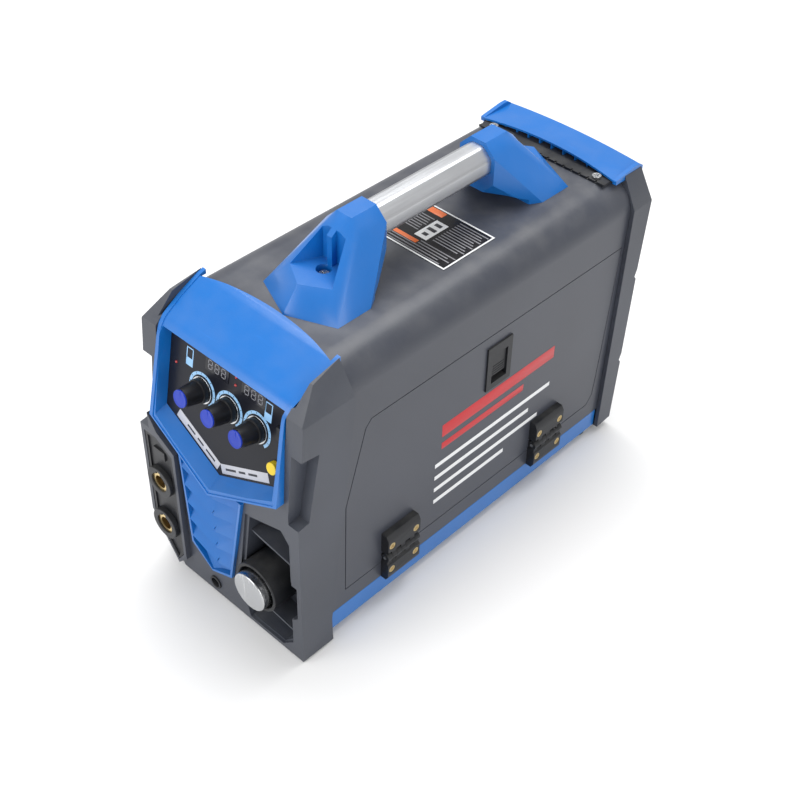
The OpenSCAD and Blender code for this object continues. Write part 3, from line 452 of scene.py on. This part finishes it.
def noise_at(group, vector, scale, detail=3.0):
    noise = group.nodes.new("ShaderNodeTexNoise")
    noise.inputs["Detail"].default_value = detail
    group.links.new(vector, noise.inputs["Vector"])
    if isinstance(scale, (int, float)):
        noise.inputs["Scale"].default_value = scale
    else:
        group.links.new(scale, noise.inputs["Scale"])
    return noise.outputs["Fac"]


def ramp(group, value, low, high, to_low=0.0, to_high=1.0):
    node = group.nodes.new("ShaderNodeMapRange")
    group.links.new(value, node.inputs["Value"])
    for label, number in (("From Min", low), ("From Max", high), ("To Min", to_low),
                          ("To Max", to_high)):
        node.inputs[label].default_value = number
    return node.outputs["Result"]


def math(group, operation, a, b):
    node = group.nodes.new("ShaderNodeMath")
    node.operation = operation
    for socket, value in zip(node.inputs, (a, b)):
        if isinstance(value, (int, float)):
            socket.default_value = value
        else:
            group.links.new(value, socket)
    return node.outputs["Value"]


def blend_colour(group, factor, first, second):
    node = group.nodes.new("ShaderNodeMix")
    node.data_type = "RGBA"
    group.links.new(factor, node.inputs["Factor"])
    for socket, value in ((node.inputs["A"], first), (node.inputs["B"], second)):
        if isinstance(value, tuple):
            socket.default_value = value
        else:
            group.links.new(value, socket)
    return node.outputs["Result"]


def object_place(group):
    return group.nodes.new("ShaderNodeTexCoord").outputs["Object"]


drift, drift_in, drift_out = new_group(
    "colour_drift", [("Colour", "NodeSocketColor", (0.5, 0.5, 0.5, 1)),
                     ("Second colour", "NodeSocketColor", (0.4, 0.4, 0.4, 1)),
                     ("Scale", "NodeSocketFloat", 12.0)], [("Colour", "NodeSocketColor")])
broad = ramp(drift, noise_at(drift, object_place(drift), drift_in.outputs["Scale"], 4), 0.35, 0.7)
drift.links.new(blend_colour(drift, broad, drift_in.outputs["Colour"],
                             drift_in.outputs["Second colour"]), drift_out.inputs["Colour"])

grain, grain_in, grain_out = new_group(
    "moulded_grain", [("Scale", "NodeSocketFloat", 900.0)], [("Height", "NodeSocketFloat")])
where = object_place(grain)
cells = grain.nodes.new("ShaderNodeTexVoronoi")
grain.links.new(where, cells.inputs["Vector"])
grain.links.new(grain_in.outputs["Scale"], cells.inputs["Scale"])
fine = noise_at(grain, where, grain_in.outputs["Scale"], 2)
grain.links.new(math(grain, "ADD", cells.outputs["Distance"], fine), grain_out.inputs["Height"])

scuffs, scuffs_in, scuffs_out = new_group(
    "scuffs", [("Stretch", "NodeSocketVector", (30.0, 400.0, 30.0)),
               ("Amount", "NodeSocketFloat", 0.5)], [("Mask", "NodeSocketFloat")])
stretch = scuffs.nodes.new("ShaderNodeVectorMath")
stretch.operation = "MULTIPLY"
where = object_place(scuffs)
scuffs.links.new(where, stretch.inputs[0])
scuffs.links.new(scuffs_in.outputs["Stretch"], stretch.inputs[1])
streaks = ramp(scuffs, noise_at(scuffs, stretch.outputs["Vector"], 1.0, 4), 0.58, 0.72)
patches = ramp(scuffs, noise_at(scuffs, where, 22.0, 3), 0.5, 0.66)
scuffs.links.new(math(scuffs, "MULTIPLY", math(scuffs, "MULTIPLY", streaks, patches),
                      scuffs_in.outputs["Amount"]), scuffs_out.inputs["Mask"])

dust, dust_in, dust_out = new_group(
    "dust", [("Amount", "NodeSocketFloat", 0.2)], [("Mask", "NodeSocketFloat")])
facing = dust.nodes.new("ShaderNodeSeparateXYZ")
dust.links.new(dust.nodes.new("ShaderNodeNewGeometry").outputs["Normal"], facing.inputs[0])
looks_up = ramp(dust, facing.outputs["Z"], 0.2, 1.0)
cloudy = ramp(dust, noise_at(dust, object_place(dust), 40.0, 6), 0.35, 0.75)
dust.links.new(math(dust, "MULTIPLY", math(dust, "MULTIPLY", looks_up, cloudy),
                    dust_in.outputs["Amount"]), dust_out.inputs["Mask"])
print("effects:", [group.name for group in bpy.data.node_groups])

# %% [markdown]
# One recipe serves every moulded, painted or metal finish: drift gives the colour, dust and
# scuffs change colour and roughness, and grain drives a bump. What differs between slate
# sheet, blue plastic and brass is only the numbers, so they stand together in one table.

# %% The recipe
def place_group(tree, group, **values):
    node = tree.nodes.new("ShaderNodeGroup")
    node.node_tree = group
    for label, value in values.items():
        node.inputs[label.replace("_", " ")].default_value = value
    return node


def rgba(colour, gain=1.0):
    return tuple(min(1.0, c * gain) for c in colour) + (1.0,)


def finish_recipe(name, colour, gain=0.8, drift_scale=9.0, rough=0.4, grain_scale=900.0,
                  grain_depth=0.1, scuff=0.35, stretch=(30, 400, 30), dusty=0.1, metal=0.0,
                  coat=0.0, gloss=0.5):
    material = bpy.data.materials.new(name)
    material.use_nodes = True
    tree = material.node_tree
    shader = tree.nodes["Principled BSDF"]
    tint = place_group(tree, drift, Colour=rgba(colour), Second_colour=rgba(colour, gain),
                       Scale=drift_scale)
    marks = place_group(tree, scuffs, Stretch=stretch, Amount=scuff)
    film = place_group(tree, dust, Amount=dusty)
    skin = place_group(tree, grain, Scale=grain_scale)
    worn = blend_colour(tree, marks.outputs["Mask"], tint.outputs["Colour"], rgba(colour, 1.7))
    dusted = blend_colour(tree, film.outputs["Mask"], worn, (0.42, 0.41, 0.38, 1))
    tree.links.new(dusted, shader.inputs["Base Color"])
    uneven = math(tree, "ADD", math(tree, "MULTIPLY", marks.outputs["Mask"], 0.3),
                  math(tree, "MULTIPLY", film.outputs["Mask"], 0.5))
    tree.links.new(math(tree, "ADD", uneven, rough), shader.inputs["Roughness"])
    bump = tree.nodes.new("ShaderNodeBump")
    bump.inputs["Strength"].default_value = grain_depth
    bump.inputs["Distance"].default_value = 0.2 * MM
    tree.links.new(skin.outputs["Height"], bump.inputs["Height"])
    tree.links.new(bump.outputs["Normal"], shader.inputs["Normal"])
    shader.inputs["Metallic"].default_value = metal
    shader.inputs["Specular IOR Level"].default_value = gloss
    shader.inputs["Coat Weight"].default_value = coat
    shader.inputs["Coat Roughness"].default_value = 0.15
    return material


FINISHES = {
    "slate_sheet": dict(colour=(0.048, 0.053, 0.069), rough=0.38, gain=0.88, grain_depth=0.12,
                        grain_scale=700, scuff=0.15, dusty=0.10),
    "dark_frame": dict(colour=(0.050, 0.056, 0.073), rough=0.44, grain_depth=0.25, scuff=0.3),
    "blue_plastic": dict(colour=(0.004, 0.135, 0.470), gain=0.92, rough=0.30, coat=0.15,
                         grain_depth=0.12, scuff=0.12, dusty=0.05),
    "blue_paint": dict(colour=(0.005, 0.135, 0.450), gain=0.90, rough=0.30, coat=0.3,
                       grain_depth=0.08, scuff=0.3),
    "black_plastic": dict(colour=(0.012, 0.013, 0.016), rough=0.42, grain_depth=0.3, gloss=0.35),
    "panel_film": dict(colour=(0.009, 0.010, 0.016), gain=0.8, rough=0.3, grain_depth=0.05,
                       scuff=0.05, dusty=0.02, gloss=0.2),
    "display_lens": dict(colour=(0.012, 0.013, 0.018), gain=0.8, rough=0.12, grain_depth=0.02,
                         scuff=0.05, dusty=0.02, gloss=0.3),
    "knob_blue": dict(colour=(0.012, 0.040, 0.400), gain=0.85, rough=0.32, grain_depth=0.1,
                      dusty=0.0, gloss=0.3),
    "knob_plastic": dict(colour=(0.008, 0.008, 0.010), rough=0.36, grain_depth=0.2, dusty=0.03,
                         gloss=0.3),
    "yellow_button": dict(colour=(0.80, 0.58, 0.01), gain=0.9, rough=0.3, grain_depth=0.05),
    "red_rocker": dict(colour=(0.45, 0.02, 0.02), rough=0.3, grain_depth=0.05),
    "bright_steel": dict(colour=(0.62, 0.63, 0.64), rough=0.22, metal=1.0, grain_depth=0.06,
                         stretch=(300, 300, 40), scuff=0.4),
    "brass": dict(colour=(0.72, 0.55, 0.26), rough=0.28, metal=1.0, grain_depth=0.06,
                  stretch=(400, 30, 400)),
    "label_film": dict(colour=(0.010, 0.010, 0.012), rough=0.24, grain_depth=0.04, scuff=0.2,
                       dusty=0.03, gloss=0.25),
    "zinc_sheet": dict(colour=(0.50, 0.51, 0.50), rough=0.35, metal=1.0, grain_scale=120,
                       gain=0.75, grain_depth=0.1),
    "heat_sink_aluminium": dict(colour=(0.60, 0.61, 0.62), rough=0.38, metal=1.0,
                                stretch=(400, 20, 400)),
    "copper_winding": dict(colour=(0.50, 0.20, 0.08), rough=0.3, metal=0.7, coat=0.4),
    "motor_case": dict(colour=(0.07, 0.07, 0.08), rough=0.4, grain_depth=0.2),
    "rubber": dict(colour=(0.020, 0.020, 0.021), rough=0.75, grain_scale=500, grain_depth=0.5,
                   dusty=0.3),
    "print_white": dict(colour=(0.78, 0.79, 0.80), gain=0.92, rough=0.4, grain_depth=0.03,
                        scuff=0.1),
    "print_black": dict(colour=(0.015, 0.017, 0.025), rough=0.4, grain_depth=0.03, dusty=0.0),
    "print_grey": dict(colour=(0.20, 0.20, 0.22), gain=0.85, rough=0.35, grain_depth=0.03),
    "print_silver": dict(colour=(0.52, 0.53, 0.58), gain=0.85, rough=0.3, grain_depth=0.03),
    "print_blue": dict(colour=(0.30, 0.55, 0.85), gain=0.9, rough=0.35, grain_depth=0.03),
    "print_orange": dict(colour=(0.72, 0.14, 0.02), gain=0.9, rough=0.35, grain_depth=0.03),
    "print_red": dict(colour=(0.50, 0.012, 0.018), gain=0.9, rough=0.35, grain_depth=0.03),
    "lamp_red": dict(colour=(0.50, 0.02, 0.02), gain=0.7, rough=0.15, grain_depth=0.02, coat=0.5),
}
finishes = {name: finish_recipe(name, **values) for name, values in FINISHES.items()}
print(len(finishes), "finishes")

# %% [markdown]
# The grip tube is brushed along its length. Brushing is a noise stretched very long in one
# direction: it changes roughness and gives a shallow bump, and leaves the colour nearly even.

# %% Brushed tube, wound wire, circuit board and floor
def plain_material(name, metal=0.0):
    material = bpy.data.materials.new(name)
    material.use_nodes = True
    shader = material.node_tree.nodes["Principled BSDF"]
    shader.inputs["Metallic"].default_value = metal
    return material, material.node_tree, shader


def scaled_place(tree, factors):
    node = tree.nodes.new("ShaderNodeVectorMath")
    node.operation = "MULTIPLY"
    node.inputs[1].default_value = factors
    tree.links.new(object_place(tree), node.inputs[0])
    return node.outputs["Vector"]


def bumped(tree, shader, height, strength, distance):
    bump = tree.nodes.new("ShaderNodeBump")
    bump.inputs["Strength"].default_value = strength
    bump.inputs["Distance"].default_value = distance
    tree.links.new(height, bump.inputs["Height"])
    tree.links.new(bump.outputs["Normal"], shader.inputs["Normal"])


finishes["satin_aluminium"], tree, shader = plain_material("satin_aluminium", 1.0)
brushing = noise_at(tree, scaled_place(tree, (1400, 14, 1400)), 1.0, 4)
tint = place_group(tree, drift, Colour=(0.60, 0.61, 0.63, 1), Second_colour=(0.52, 0.53, 0.55, 1),
                   Scale=10.0)
tree.links.new(tint.outputs["Colour"], shader.inputs["Base Color"])
tree.links.new(ramp(tree, brushing, 0.3, 0.7, 0.30, 0.46), shader.inputs["Roughness"])
bumped(tree, shader, brushing, 0.25, 0.1 * MM)

finishes["wire_copper"], tree, shader = plain_material("wire_copper", 1.0)
turns = tree.nodes.new("ShaderNodeTexWave")
turns.bands_direction = "X"
turns.inputs["Scale"].default_value = 320
turns.inputs["Distortion"].default_value = 0.6
tree.links.new(object_place(tree), turns.inputs["Vector"])
# Painted shade: the colour falls from copper on the crown of each turn to dark brown in the grooves
# between turns, where shade falls. The same waves also set the roughness and a bump.
shade = blend_colour(tree, turns.outputs["Fac"], (0.20, 0.07, 0.03, 1), (0.72, 0.36, 0.20, 1))
tree.links.new(shade, shader.inputs["Base Color"])
tree.links.new(ramp(tree, turns.outputs["Fac"], 0, 1, 0.5, 0.25), shader.inputs["Roughness"])
bumped(tree, shader, turns.outputs["Fac"], 0.8, 0.6 * MM)

finishes["circuit_board"], tree, shader = plain_material("circuit_board")
tracks = tree.nodes.new("ShaderNodeTexBrick")
tracks.inputs["Scale"].default_value = 60
tracks.inputs["Mortar Size"].default_value = 0.04
tracks.inputs["Color1"].default_value = (0.02, 0.13, 0.06, 1)
tracks.inputs["Color2"].default_value = (0.03, 0.17, 0.08, 1)
tracks.inputs["Mortar"].default_value = (0.16, 0.30, 0.12, 1)
tree.links.new(object_place(tree), tracks.inputs["Vector"])
tree.links.new(tracks.outputs["Color"], shader.inputs["Base Color"])
tree.links.new(ramp(tree, tracks.outputs["Fac"], 0, 1, 0.3, 0.45), shader.inputs["Roughness"])
bumped(tree, shader, tracks.outputs["Fac"], 0.3, 0.1 * MM)

finishes["studio_floor"], tree, shader = plain_material("studio_floor")
cloud = noise_at(tree, object_place(tree), 3.0, 4)
tree.links.new(blend_colour(tree, cloud, (0.83, 0.83, 0.83, 1), (0.86, 0.86, 0.86, 1)),
               shader.inputs["Base Color"])
tree.links.new(ramp(tree, cloud, 0.3, 0.7, 0.55, 0.65), shader.inputs["Roughness"])
floor.data.materials.append(finishes["studio_floor"])
print("special finishes done")

# %% [markdown]
# Every part takes the finish that its record names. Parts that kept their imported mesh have
# their material slot filled in place; new pieces get the finish whose name they were given.

# %% Give every part its finish
def dress(piece, finish):
    if not piece.data.materials:
        piece.data.materials.append(finish)
    for slot_number in range(len(piece.data.materials)):
        piece.data.materials[slot_number] = finish


PRINTED = {
    "dial_scales": "print_blue", "display_digits": "print_grey", "panel_strip": "print_silver",
    "dial_ticks": "print_black", "panel_words": "print_black", "label_marks": "print_black",
    "panel_symbols": "print_blue", "signal_lamps": "lamp_red", "label_border": "print_white",
    "label_bands": "print_orange", "label_lines": "print_grey",
    "door_stripes_red": "print_red", "door_stripes_white": "print_white",
    "knob_left_pointer": "knob_blue", "knob_middle_pointer": "knob_blue",
    "knob_right_pointer": "knob_blue", "knob_left_cap": "knob_blue",
    "knob_middle_cap": "knob_blue", "knob_right_cap": "knob_blue",
}
for node, piece in frame["nodes"].items():
    dress(piece, finishes[SLOT_OF[node]])
for node, piece in soft.items():
    dress(piece, finishes[SLOT_OF[node]])
for name, finish in PRINTED.items():
    dress(bpy.data.objects[name], finishes[finish])
print("dressed", len(frame["nodes"]), "packed parts and", len(soft) + len(PRINTED), "new pieces")
